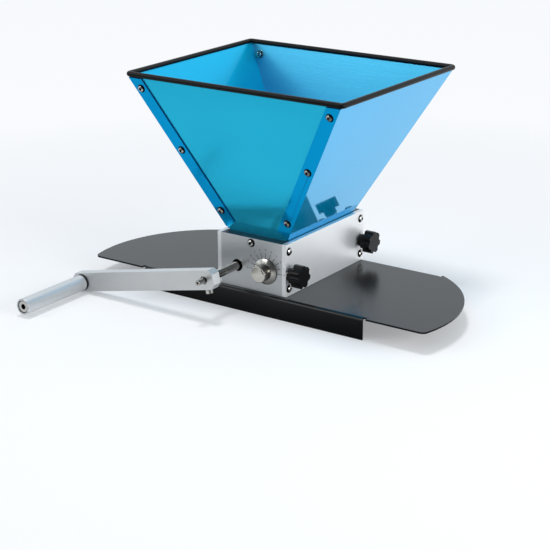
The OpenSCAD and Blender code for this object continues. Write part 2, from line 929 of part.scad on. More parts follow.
module grip_tube() {
    color(arm_metal) crank_frame()
        translate([-crank_r, -grip_start, 0]) rotate([90, 0, 0]) difference() {
            rotate_extrude() polygon([
                [0, 0],
                [grip_d / 2 - grip_edge, 0],
                [grip_d / 2, grip_edge],
                [grip_d / 2, grip_l - grip_edge],
                [grip_d / 2 - grip_edge, grip_l],
                [0, grip_l]
            ]);
            translate([0, 0, -past]) cylinder(d = bolt_d + 2 * run_clear, h = grip_l + 2 * past);
            translate([0, 0, grip_l - grip_counter_depth])
                cylinder(d = grip_counter_d, h = grip_counter_depth + past);
        }
}

module grip_bolt() {
    color(bright_steel) crank_frame() difference() {
        union() {
            bar_y(bolt_d, -crank_r, 0, -bolt_seat - bolt_head_h / 2, -arm_back);
            bar_y(bolt_head_d, -crank_r, 0, -bolt_seat - bolt_head_h, -bolt_seat);
        }
        translate([-crank_r, -bolt_seat - bolt_head_h / 2, 0]) rotate([90, 0, 0])
            cylinder(d = bolt_hex / cos(30), h = bolt_head_h, $fn = 6);
    }
}

module grip_washer() {
    color(black_plastic) crank_frame() translate([-crank_r, -arm_front, 0]) rotate([90, 0, 0])
        ring(grip_d, bolt_d + 2 * seat_clear, grip_washer_t);
}

base_plate();
base_screws();
front_plate();
rear_plate();
left_side_plate();
right_side_plate();
side_plate_screws();
hopper_front_panel();
hopper_rear_panel();
hopper_left_panel();
hopper_right_panel();
hopper_rim_trim();
hopper_screws();
hopper_washers();
hopper_nuts();
hopper_mount_screws();
hopper_mount_nuts();
drive_shaft();
drive_roller();
drive_spacers();
front_bearing();
rear_bearing();
idler_shaft();
idler_roller();
idler_spacers();
front_adjuster();
rear_adjuster();
front_lock_washer();
front_lock_knob();
front_lock_stud();
rear_lock_washer();
rear_lock_knob();
rear_lock_stud();
crank_arm();
crank_clamp_screw();
grip_tube();
grip_bolt();
grip_washer();
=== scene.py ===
"""Looks of a hand-cranked malt mill: its finishes, knurled rollers, dial scales and studio.

The mill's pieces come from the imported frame, in metres. Each one gets a dressed copy with
broken edges and its own finish, and the copy rides on the body that carries the piece.
"""

from __future__ import annotations

import json
import logging
import math
from dataclasses import dataclass, field, replace
from enum import Enum
from typing import Any

import bmesh
import bpy
from mathutils import Matrix, Vector

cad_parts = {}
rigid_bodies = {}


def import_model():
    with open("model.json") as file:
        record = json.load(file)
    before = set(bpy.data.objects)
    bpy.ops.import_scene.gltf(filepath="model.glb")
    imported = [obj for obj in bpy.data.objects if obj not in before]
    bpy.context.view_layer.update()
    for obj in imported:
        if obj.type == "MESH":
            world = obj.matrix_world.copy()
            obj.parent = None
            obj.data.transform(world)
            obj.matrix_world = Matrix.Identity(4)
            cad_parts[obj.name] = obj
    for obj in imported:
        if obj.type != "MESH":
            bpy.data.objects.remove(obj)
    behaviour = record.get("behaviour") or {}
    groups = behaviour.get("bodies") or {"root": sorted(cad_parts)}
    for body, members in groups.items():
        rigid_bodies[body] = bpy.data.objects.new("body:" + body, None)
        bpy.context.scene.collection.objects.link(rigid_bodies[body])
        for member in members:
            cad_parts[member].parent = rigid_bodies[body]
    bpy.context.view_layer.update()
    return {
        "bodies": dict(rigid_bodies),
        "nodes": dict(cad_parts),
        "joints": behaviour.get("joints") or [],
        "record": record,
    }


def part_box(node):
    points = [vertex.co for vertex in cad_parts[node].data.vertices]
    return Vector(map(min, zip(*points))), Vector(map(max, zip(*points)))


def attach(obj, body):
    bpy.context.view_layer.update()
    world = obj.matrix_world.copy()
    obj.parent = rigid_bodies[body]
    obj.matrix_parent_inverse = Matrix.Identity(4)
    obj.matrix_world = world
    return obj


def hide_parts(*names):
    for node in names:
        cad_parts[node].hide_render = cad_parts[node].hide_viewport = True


LOG = logging.getLogger("malt_mill")
MM = 0.001
# Points closer than this are one point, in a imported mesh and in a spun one.
WELD_MM = 0.001
SEAM_MM = 0.01
# Facets that turn less than this lie in one face.
FLAT_DEG = 0.2

Socket = bpy.types.NodeSocket
Tree = bpy.types.NodeTree


def linear(hex_colour: str) -> tuple[float, float, float, float]:
    """Turns an sRGB hex colour to linear light.

    Args:
        hex_colour: The colour as six hex digits after a hash sign.

    Returns:
        Linear red, green and blue, and an alpha of 1.
    """
    parts = [int(hex_colour[i:i + 2], 16) / 255 for i in (1, 3, 5)]
    red, green, blue = (
        c / 12.92 if c <= 0.04045 else ((c + 0.055) / 1.055) ** 2.4 for c in parts
    )
    return red, green, blue, 1.0


def add_node(
    tree: Tree,
    kind: str,
    inputs: dict[str | int, Any] | None = None,
    **settings: Any,
) -> bpy.types.Node:
    """Adds one shader node with its settings and links.

    Args:
        tree: The node tree that gets the node.
        kind: The node's type name.
        inputs: Values or sockets for its inputs, by name or number.
        **settings: The node's own properties.

    Returns:
        The new node.
    """
    node = tree.nodes.new(kind)
    for key, value in settings.items():
        setattr(node, key, value)
    for key, value in (inputs or {}).items():
        if isinstance(value, Socket):
            tree.links.new(value, node.inputs[key])
        else:
            node.inputs[key].default_value = value
    return node


def bare_tree(owner: bpy.types.Material | bpy.types.World) -> Tree:
    """Empties the node tree of a material or the world.

    Args:
        owner: The material or the world.

    Returns:
        Its node tree.
    """
    owner.use_nodes = True
    owner.node_tree.nodes.clear()
    return owner.node_tree


# The Mix node's inputs share their names, so its colours and its numbers go by these places.
COLOUR_A, COLOUR_B, COLOUR_OUT = 6, 7, 2
NUMBER_A, NUMBER_B = 2, 3
# About how many rings a wave texture draws in each unit of its scale.
WAVE_RINGS = 3
# The heights between which most of a relief lies.
RELIEF_SPREAD = (0.3, 0.7)


class Texture(Enum):
    """How the maker's tool or mould leaves a surface."""

    BRUSHED = "brushed"
    SPECKLED = "speckled"
    TURNED = "turned"


@dataclass(frozen=True)
class Grain:
    """The fine relief of a finish.

    Attributes:
        texture: The kind of relief.
        size_mm: Its size along X, Y and Z; for a turned face, the width of a tool mark.
        depth_mm: The depth of the relief.
        centre: For a turned face, the axis that it was turned about, in metres.
    """

    texture: Texture
    size_mm: tuple[float, float, float]
    depth_mm: float
    centre: tuple[float, float, float] = (0.0, 0.0, 0.0)

    def pattern(self, tree: Tree, coords: Socket) -> Socket:
        """Draws the relief as a height from 0 to 1.

        Args:
            tree: The material's node tree.
            coords: Object coordinates, in metres.

        Returns:
            The socket that holds the height.
        """
        per_metre = [1 / (size * MM) for size in self.size_mm]
        if self.texture is Texture.TURNED:
            moved = add_node(tree, "ShaderNodeMapping", {
                "Vector": coords, "Location": [-c for c in self.centre],
            }, vector_type="POINT")
            rings = add_node(tree, "ShaderNodeTexWave", {
                "Vector": moved.outputs["Vector"], "Scale": per_metre[0] / WAVE_RINGS,
                "Distortion": 0.6, "Detail": 2.0,
            }, wave_type="RINGS", rings_direction="Y")
            return rings.outputs["Fac"]
        stretched = add_node(tree, "ShaderNodeMapping", {
            "Vector": coords, "Scale": per_metre,
        })
        noise = add_node(tree, "ShaderNodeTexNoise", {
            "Vector": stretched.outputs["Vector"], "Scale": 1.0, "Detail": 4.0, "Roughness": 0.6,
        })
        return noise.outputs["Fac"]


# Painted shade: the near-black that corners, hollows, sockets and spots close to other parts are
# darkened towards.
PAINTED_SHADE = "#0B0B0C"
# How open a spot is where the painted shade is full, and where none is left.
PAINTED_SHADE_SPREAD = (0.45, 0.95)


@dataclass(frozen=True)
class Finish:
    """One surface finish, as a principled material with its own relief and mottle.

    Attributes:
        name: The material's common name and how it was made.
        slot: The record's material slot; not used.
        colour: Its main colour.
        shade: The colour it drifts to in patches.
        metallic: 1 for bare or anodised metal, 0 for the rest.
        roughness: Lowest and highest roughness.
        grain: Its fine relief.
        mottle_mm: The size of the patches of colour.
        ior: The index of refraction of a finish that isn't metal.
        gloss: The strength of its colourless reflection, where it isn't metal.
        coat: The weight of a clear skin over it.
        grime_mm: How far from a corner or hollow the painted shade reaches; 0 for none.
    """

    name: str
    slot: str
    colour: str
    shade: str
    metallic: float
    roughness: tuple[float, float]
    grain: Grain
    mottle_mm: float = 30.0
    ior: float = 1.5
    gloss: float = 0.5
    coat: float = 0.0
    grime_mm: float = 0.0

    def material(self) -> bpy.types.Material:
        """Builds the finish once and gives the same material after that.

        Returns:
            The material.
        """
        ready = bpy.data.materials.get(self.name)
        if ready:
            return ready
        made = bpy.data.materials.new(self.name)
        tree = bare_tree(made)
        coords = add_node(tree, "ShaderNodeTexCoord").outputs["Object"]
        height = self.grain.pattern(tree, coords)
        patches = add_node(tree, "ShaderNodeTexNoise", {
            "Vector": coords, "Scale": 1 / (self.mottle_mm * MM), "Detail": 3.0,
        })
        tone = add_node(tree, "ShaderNodeMix", {
            "Factor": patches.outputs["Fac"],
            COLOUR_A: linear(self.colour), COLOUR_B: linear(self.shade),
        }, data_type="RGBA")
        # Ambient occlusion darkens the colour in corners, hollows and where parts meet: painted
        # shade.
        if self.grime_mm:
            open_sky = add_node(tree, "ShaderNodeAmbientOcclusion", {
                "Distance": self.grime_mm * MM,
            }, samples=8)
            shade_share = add_node(tree, "ShaderNodeMapRange", {
                "Value": open_sky.outputs["AO"], "From Min": PAINTED_SHADE_SPREAD[0],
                "From Max": PAINTED_SHADE_SPREAD[1], "To Min": 1.0, "To Max": 0.0,
            })
            tone = add_node(tree, "ShaderNodeMix", {
                "Factor": shade_share.outputs["Result"],
                COLOUR_A: tone.outputs[COLOUR_OUT], COLOUR_B: linear(PAINTED_SHADE),
            }, data_type="RGBA")
        rough = add_node(tree, "ShaderNodeMapRange", {
            "Value": height, "From Min": RELIEF_SPREAD[0], "From Max": RELIEF_SPREAD[1],
            "To Min": self.roughness[0], "To Max": self.roughness[1],
        })
        relief = add_node(tree, "ShaderNodeBump", {
            "Height": height, "Strength": 1.0, "Distance": self.grain.depth_mm * MM,
        })
        surface = add_node(tree, "ShaderNodeBsdfPrincipled", {
            "Base Color": tone.outputs[COLOUR_OUT], "Metallic": self.metallic,
            "Roughness": rough.outputs["Result"], "IOR": self.ior,
            "Specular IOR Level": self.gloss, "Coat Weight": self.coat,
            "Normal": relief.outputs["Normal"],
        })
        add_node(tree, "ShaderNodeOutputMaterial", {"Surface": surface.outputs["BSDF"]})
        return made


# Brush lines, pores and tool marks are drawn coarser than real ones, so that they show.
# Lines along the side sheets, from the rolls, and across the front and rear ones.
ROLLED = Grain(Texture.BRUSHED, (3.0, 60.0, 0.5), 0.00010)
BRUSHED = Grain(Texture.BRUSHED, (60.0, 3.0, 0.5), 0.00016)
# Lines along the plates and along the crank.
MILLED = Grain(Texture.BRUSHED, (25.0, 25.0, 0.45), 0.0008)
DRAWN = Grain(Texture.BRUSHED, (40.0, 40.0, 0.5), 0.0010)

# Anodised sheet: a dyed skin on smooth aluminium, so reflections stay sharp and turn blue.
ANODISED_SIDE = Finish(
    "anodised_aluminium_side", "blue_anodised", "#0CB2EC", "#08ACE6", 0.66, (0.04, 0.08),
    ROLLED, 90.0, gloss=0.0, coat=0.65,
)
# Inside the hopper the side sheets get a lighter copy of their finish with a dull shine: the
# lighter colour is painted light for the inside.
LIT_INSIDE_SIDE = Finish(
    "lit_inside_anodised_side", "blue_anodised", "#14C8F8", "#10C0F2", 0.66, (0.30, 0.38),
    ROLLED, 90.0, gloss=0.0, coat=0.3,
)
# Folding stretched the dyed skin of the flanges and took its clear shine.
FOLDED_FLANGE = Finish(
    "folded_anodised_aluminium", "blue_anodised", "#04A3E1", "#049CDA", 0.70, (0.06, 0.12),
    ROLLED, 90.0, gloss=0.0,
)
# The front and rear sheets were brushed before dyeing, which blurs what they reflect.
ANODISED_END = Finish(
    "anodised_aluminium_end", "blue_anodised", "#2CC6EC", "#28BEE6", 0.76, (0.14, 0.20),
    BRUSHED, 90.0, gloss=0.0,
)
# Inside, these sheets get a paler copy that blurs what it reflects: the paler colour is painted
# light for the inside.
LIT_INSIDE_END = Finish(
    "lit_inside_anodised_end", "blue_anodised", "#50BCE4", "#4AB4DC", 0.76, (0.26, 0.34),
    BRUSHED, 90.0, gloss=0.0,
)
# The sheets' narrow cut edges get a dark navy copy of the dye: painted shade.
SHADED_CUT_EDGE = Finish(
    "painted_shade_cut_edge", "blue_anodised", "#0A3878", "#082C60", 0.6, (0.45, 0.60),
    Grain(Texture.SPECKLED, (0.4, 0.4, 0.4), 0.003), 6.0, gloss=0.1,
)
# Baked powder coat on steel: black and half glossy, with a faint orange peel.
POWDER_COAT = Finish(
    "powder_coated_steel", "black_coat", "#040506", "#08090B", 0.0, (0.18, 0.28),
    Grain(Texture.SPECKLED, (1.2, 1.2, 1.2), 0.003), 60.0, 1.45,
)
# Plate ends milled and tumbled: a pale satin with fine lines along the length.
MILLED_END = Finish(
    "milled_aluminium_end", "milled_aluminium", "#D4D7D9", "#C8CCCE", 0.85, (0.30, 0.42),
    MILLED, 25.0, grime_mm=1.0,
)
# The end plates' upper faces, under the hopper, get a darker and duller copy of their finish:
# painted shade.
SHADED_PLATE_TOP = Finish(
    "painted_shade_plate_top", "milled_aluminium", "#5E666C", "#50585E", 0.9, (0.40, 0.55),
    Grain(Texture.SPECKLED, (0.8, 0.8, 0.8), 0.006), 10.0,
)
# The side plates and the crank arm's end get a paler, less metallic copy of the milled finish: the
# lower metallic shows less of the base, and the paler colour is painted light.
PALE_LIT_ALUMINIUM = Finish(
    "pale_lit_aluminium", "milled_aluminium", "#F6F7F8", "#EEF0F1", 0.6, (0.34, 0.44),
    MILLED, 25.0, grime_mm=1.0,
)
# Extruded edge trim of black rubber: dull, with a soft sheen along its crown.
EDGE_RUBBER = Finish(
    "extruded_rubber", "rim_rubber", "#030303", "#070606", 0.0, (0.34, 0.46),
    Grain(Texture.SPECKLED, (0.5, 0.5, 0.5), 0.005), 12.0, 1.32,
)
# Cold-headed stainless screws, tumbled bright.
STAINLESS = Finish(
    "stainless_steel", "fastener_steel", "#D6D5D3", "#C4C3C0", 1.0, (0.06, 0.12),
    Grain(Texture.SPECKLED, (0.8, 0.8, 0.8), 0.002), 4.0, grime_mm=2.0,
)
# Sockets and the steep foot of a screw's head get a dark copy of the steel: painted shade.
SHADED_SCREW_STEEL = Finish(
    "painted_shade_steel", "fastener_steel", "#131314", "#1C1B1A", 1.0, (0.20, 0.32),
    Grain(Texture.SPECKLED, (0.5, 0.5, 0.5), 0.003), 3.0,
)
# Ground shafts: nearly a mirror, with grinding marks round the axis.
GROUND_STEEL = Finish(
    "ground_steel", "shaft_steel", "#C3C2BE", "#B2B0AB", 1.0, (0.08, 0.15),
    Grain(Texture.BRUSHED, (20.0, 0.3, 20.0), 0.0006), 20.0, grime_mm=1.0,
)
# Knurled roller steel: darker and drier than the ground shaft.
KNURLED_STEEL = Finish(
    "knurled_steel", "roller_steel", "#9C978F", "#857F77", 1.0, (0.26, 0.40),
    Grain(Texture.SPECKLED, (0.6, 0.6, 0.6), 0.006), 8.0,
)
# Sintered bronze bearings: porous and darkened by oil, and coloured nearly black beyond that, which
# is painted shade in their sunk faces.
SHADE_DARK_BRONZE = Finish(
    "painted_shade_bronze", "bearing_bronze", "#1E1710", "#120E0A", 0.9, (0.34, 0.48),
    Grain(Texture.SPECKLED, (0.3, 0.3, 0.3), 0.006), 3.0,
)
# Turned nylon spacers: milky and waxy.
NYLON = Finish(
    "turned_nylon", "spacer_nylon", "#E6E2D6", "#DAD5C6", 0.0, (0.36, 0.48),
    Grain(Texture.SPECKLED, (0.9, 0.9, 0.9), 0.006), 6.0,
)
# Dial turned from bright steel bar: a polished flange and a warm satin knob.
TURNED_STEEL = Finish(
    "turned_steel", "dial_steel", "#DAD7CF", "#CECBC2", 1.0, (0.18, 0.26),
    Grain(Texture.SPECKLED, (0.5, 0.5, 0.5), 0.001), 10.0, grime_mm=0.8,
)
# Its sides keep coarser marks of the tool and are coloured darker than the faces: painted shade.
SHADED_DIAL_SIDE = Finish(
    "painted_shade_dial_side", "dial_steel", "#8C8A84", "#7C7A74", 1.0, (0.22, 0.32),
    Grain(Texture.BRUSHED, (20.0, 0.4, 20.0), 0.004), 6.0, grime_mm=1.0,
)
# The dial's flange keeps its turning marks, which fan a reflection out from the axis.
FLANGE_STEEL = Finish(
    "turned_flange_steel", "dial_steel", "#D8D6CE", "#CAC7BF", 1.0, (0.06, 0.12),
    Grain(Texture.TURNED, (0.5, 0.5, 0.5), 0.01), 10.0, grime_mm=0.8,
)
# Moulded phenolic knobs: black, half glossy, with a fine grain from the mould.
PHENOLIC = Finish(
    "moulded_phenolic", "knob_plastic", "#020203", "#050506", 0.0, (0.22, 0.32),
    Grain(Texture.SPECKLED, (0.6, 0.6, 0.6), 0.005), 8.0, 1.3,
)
# Satin anodised aluminium of the arm and grip: pale, soft reflections along the bar.
SATIN_ALUMINIUM = Finish(
    "satin_aluminium", "crank_aluminium", "#E2E4E4", "#D8DADB", 0.9, (0.32, 0.42),
    DRAWN, 30.0, grime_mm=1.0,
)
# The arm's edges and the grip were tumbled longer, which scatters most of what they reflect.
TUMBLED_ALUMINIUM = Finish(
    "tumbled_aluminium", "crank_aluminium", "#D2D5D7", "#C8CCCE", 0.55, (0.34, 0.44),
    DRAWN, 30.0, grime_mm=1.0,
)
# Punched plastic washers.
WASHER_NYLON = Finish(
    "punched_nylon", "washer_plastic", "#0C0C0C", "#141415", 0.0, (0.34, 0.46),
    Grain(Texture.SPECKLED, (0.7, 0.7, 0.7), 0.006), 5.0,
)
# Etched marks in the plates: the metal is burnt dull grey.
ETCHED_MARK = Finish(
    "etched_aluminium", "milled_aluminium", "#2A2B2D", "#3A3C3E", 0.0, (0.55, 0.70),
    Grain(Texture.SPECKLED, (0.4, 0.4, 0.4), 0.003), 2.0,
)
# A short dark strip in each knob's face, near its rim and along it.
DARK_KNOB_MARK = Finish(
    "dark_knob_mark", "dial_steel", "#050505", "#0C0C0C", 0.0, (0.30, 0.40),
    Grain(Texture.SPECKLED, (0.4, 0.4, 0.4), 0.004), 2.0,
)


@dataclass(frozen=True)
class BrokenEdge:
    """How far a piece's sharp edges are broken.

    Attributes:
        width_mm: Width of the rounded edge.
        segments: Facets across the rounded edge.
        sharp_deg: Edges that turn more than this are broken and shaded as edges.
    """

    width_mm: float
    segments: int = 2
    sharp_deg: float = 32.0


FINE = BrokenEdge(0.15)
DEBURRED = BrokenEdge(0.35)
SHEET = BrokenEdge(0.22)
TUMBLED = BrokenEdge(0.7, 3)
MOULDED = BrokenEdge(0.9, 3)

# How far the steep foot of a button head, and its socket's walls, turn from its axis.
HEAD_FOOT_DEG = (40.0, 140.0)
# How far the outer and the inner face of a sheet or plate turn from the way that it faces.
OUTER_FACE_DEG = (-1.0, 20.0)
INNER_FACE_DEG = (160.0, 181.0)
# How far the sides of a dial or of the crank arm turn from the axis.
SIDE_FACE_DEG = (80.0, 100.0)
# The crank arm's end leans with the arm, so it turns a little further from the level.
ARM_END_DEG = (-1.0, 25.0)
# The floor of a socket is the one face with as many sides as a hexagon key.
SOCKET_SIDES = 6


def as_mesh(shape: bmesh.types.BMesh, name: str) -> bpy.types.Mesh:
    """Turns a finished shape to a mesh and frees it.

    Args:
        shape: The shape.
        name: The mesh's name.

    Returns:
        The mesh.
    """
    mesh = bpy.data.meshes.new(name)
    shape.to_mesh(mesh)
    shape.free()
    return mesh


def add_finish(piece: bpy.types.Object, finish: Finish) -> int:
    """Gives a piece one more finish.

    Args:
        piece: The dressed piece.
        finish: The finish to add.

    Returns:
        The finish's number on the piece.
    """
    piece.data.materials.append(finish.material())
    return len(piece.data.materials) - 1


@dataclass
class SubAssembly:
    """Pieces that belong together, and what dresses them.

    Attributes:
        frame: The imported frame's nodes, bodies, joints and record.
        made: The pieces made so far.
    """

    frame: dict[str, Any]
    made: list[bpy.types.Object] = field(default_factory=list)

    def body_of(self, node: str) -> str:
        """Returns the name of the body that carries a node."""
        bodies = self.frame["record"]["behaviour"]["bodies"]
        return next(body for body, members in bodies.items() if node in members)

    def place(
        self, shape: bmesh.types.BMesh, name: str, body: str, finish: Finish
    ) -> bpy.types.Object:
        """Makes a piece of a finished shape and lets it ride on a body.

        Args:
            shape: The piece's shape, in place.
            name: The piece's name.
            body: The body that carries it.
            finish: Its finish.

        Returns:
            The piece.
        """
        piece = bpy.data.objects.new(name, as_mesh(shape, name))
        bpy.context.scene.collection.objects.link(piece)
        add_finish(piece, finish)
        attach(piece, body)
        self.made.append(piece)
        LOG.info("%s on %s: %d faces, %s", name, body, len(piece.data.polygons), finish.name)
        return piece

    def dress(self, node: str, finish: Finish, edge: BrokenEdge) -> bpy.types.Object:
        """Replaces a node by a merged copy with broken edges and a finish.

        Args:
            node: The node's name.
            finish: Its finish.
            edge: How its edges are broken.

        Returns:
            The dressed copy.
        """
        shape = bmesh.new()
        shape.from_mesh(self.frame["nodes"][node].data)
        bmesh.ops.remove_doubles(shape, verts=shape.verts, dist=WELD_MM * MM)
        bmesh.ops.dissolve_limit(
            shape, angle_limit=math.radians(FLAT_DEG), verts=shape.verts, edges=shape.edges
        )
        mark_sharp(shape, edge.sharp_deg)
        piece = self.place(shape, f"{node}_dressed", self.body_of(node), finish)
        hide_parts(node)
        broken = piece.modifiers.new("broken_edges", "BEVEL")
        broken.width = edge.width_mm * MM
        broken.segments = edge.segments
        broken.limit_method = "ANGLE"
        broken.angle_limit = math.radians(edge.sharp_deg)
        broken.profile = 0.5
        broken.harden_normals = True
        return piece

    def refinish(
        self, piece: bpy.types.Object, finish: Finish, axis: Vector, turn_deg: tuple[float, float]
    ) -> int:
        """Gives the faces that stand at some angle to an axis another finish.

        Args:
            piece: The dressed piece.
            finish: The other finish.
            axis: The axis, for the half of the piece at +Y; the other half mirrors it.
            turn_deg: The smallest and largest angle between a face's normal and the axis.

        Returns:
            The other finish's number on the piece.
        """
        mine = add_finish(piece, finish)
        least, most = (math.radians(turn) for turn in turn_deg)
        for face in piece.data.polygons:
            along = Vector((axis.x, math.copysign(axis.y, face.center.y), axis.z))
            if least < face.normal.angle(along) < most:
                face.material_index = mine
        return mine

    def fasten(self, node: str, axis: Vector) -> None:
        """Dresses screws, bright on the crown, with painted shade in the socket and at the foot.

        Args:
            node: The screws' node.
            axis: Where the heads face, for the screws at +Y.
        """
        screws = self.dress(node, STAINLESS, FINE)
        # The foot of each head and the floor of its socket are painted dark: painted shade.
        shaded_faces = self.refinish(screws, SHADED_SCREW_STEEL, axis, HEAD_FOOT_DEG)
        for face in screws.data.polygons:
            if len(face.vertices) == SOCKET_SIDES:
                face.material_index = shaded_faces


def mark_sharp(shape: bmesh.types.BMesh, sharp_deg: float) -> None:
    """Shades a shape smooth, apart from edges that turn sharply.

    Args:
        shape: The shape to mark.
        sharp_deg: The turn past which an edge is sharp.
    """
    for face in shape.faces:
        face.smooth = True
    for edge in shape.edges:
        edge.smooth = edge.calc_face_angle(0.0) < math.radians(sharp_deg)


def axis_of(node: str) -> Vector:
    """Returns the middle of a round node whose axis runs along Y."""
    low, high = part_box(node)
    return (low + high) / 2


@dataclass
class Base(SubAssembly):
    """The coated steel base and the screws that hold the body to it."""

    def build(self) -> None:
        """Dresses the base."""
        self.dress("base_plate", POWDER_COAT, DEBURRED)
        self.fasten("base_screws", Vector((0, 0, -1)))


@dataclass
class DialScale(SubAssembly):
    """The gap scale etched in an end plate round its dial.

    Attributes:
        marks: Marks from nought to the last number.
        sweep_deg: The turn from the first mark to the last.
        foot_mm: How far the marks start from the dial's axis.
        short_mm: Length of an odd mark.
        long_mm: Length of an even mark.
        line_mm: Width of a mark.
        number_mm: Height of a number.
        number_r_mm: Distance of the numbers from the dial's axis.
        film_mm: How far the etching stands proud, so that it shows.
    """

    marks: int = 11
    sweep_deg: float = 180.0
    foot_mm: float = 15.6
    short_mm: float = 5.0
    long_mm: float = 6.2
    line_mm: float = 0.55
    number_mm: float = 3.0
    number_r_mm: float = 24.6
    film_mm: float = 0.03

    def etch(self, plate: str, dial: str, facing: float) -> None:
        """Etches the marks and numbers in one plate.

        Args:
            plate: The end plate's node.
            dial: The dial's node.
            facing: -1 where the plate faces the front, 1 where it faces the rear.
        """
        low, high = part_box(plate)
        face_y = low.y if facing < 0 else high.y
        middle = axis_of(dial)
        dial_face = (
            Matrix.Translation((middle.x, face_y, middle.z))
            @ Matrix.Rotation(0 if facing < 0 else math.pi, 4, "Z")
        )
        lines = bmesh.new()
        for mark in range(self.marks):
            turn = math.radians(self.sweep_deg * mark / (self.marks - 1))
            length = self.short_mm if mark % 2 else self.long_mm
            place = (
                dial_face
                @ Matrix.Rotation(-turn, 4, "Y")
                @ Matrix.Translation(((self.foot_mm + length / 2) * MM, 0, 0))
                @ Matrix.Diagonal((length * MM, 2 * self.film_mm * MM, self.line_mm * MM, 1))
            )
            bmesh.ops.create_cube(lines, size=1.0, matrix=place)
            spot = (
                dial_face
                @ Matrix.Translation((
                    self.number_r_mm * MM * math.cos(turn), -self.film_mm * MM,
                    self.number_r_mm * MM * math.sin(turn),
                ))
                @ Matrix.Rotation(math.pi / 2, 4, "X")
            )
            self.number(lines, str(mark), spot)
        self.place(lines, f"{plate}_scale", self.body_of(plate), ETCHED_MARK)

    def number(self, lines: bmesh.types.BMesh, digits: str, spot: Matrix) -> None:
        """Adds one plain number to the etched marks.

        Args:
            lines: The marks so far.
            digits: The number.
            spot: Its place and turn on the plate.
        """
        written = bpy.data.curves.new(f"number_{digits}", "FONT")
        written.body = digits
        written.size = self.number_mm * MM
        written.align_x = "CENTER"
        written.align_y = "CENTER"
        written.extrude = self.film_mm * MM
        holder = bpy.data.objects.new(f"number_{digits}", written)
        bpy.context.scene.collection.objects.link(holder)
        bpy.context.view_layer.update()
        flat = bpy.data.meshes.new_from_object(holder)
        flat.transform(spot)
        lines.from_mesh(flat)
        bpy.data.objects.remove(holder)
        bpy.data.meshes.remove(flat)


@dataclass
class Body(SubAssembly):
    """The four plates round the rollers, and their screws."""

    def build(self) -> None:
        """Dresses the body."""
        for node in ("front_plate", "rear_plate"):
            plate = self.dress(node, MILLED_END, DEBURRED)
            # The upper faces, in the hopper's shade, are painted dark: painted shade.
            self.refinish(plate, SHADED_PLATE_TOP, Vector((0, 0, 1)), OUTER_FACE_DEG)
        # The side plates get the paler copy of the milled finish: painted light.
        for node in ("left_side_plate", "right_side_plate"):
            self.dress(node, PALE_LIT_ALUMINIUM, DEBURRED)
        self.fasten("side_plate_screws", Vector((1, 0, 0)))
        scale = DialScale(self.frame)
        scale.etch("front_plate", "front_adjuster", -1.0)
        scale.etch("rear_plate", "rear_adjuster", 1.0)
        self.made.extend(scale.made)


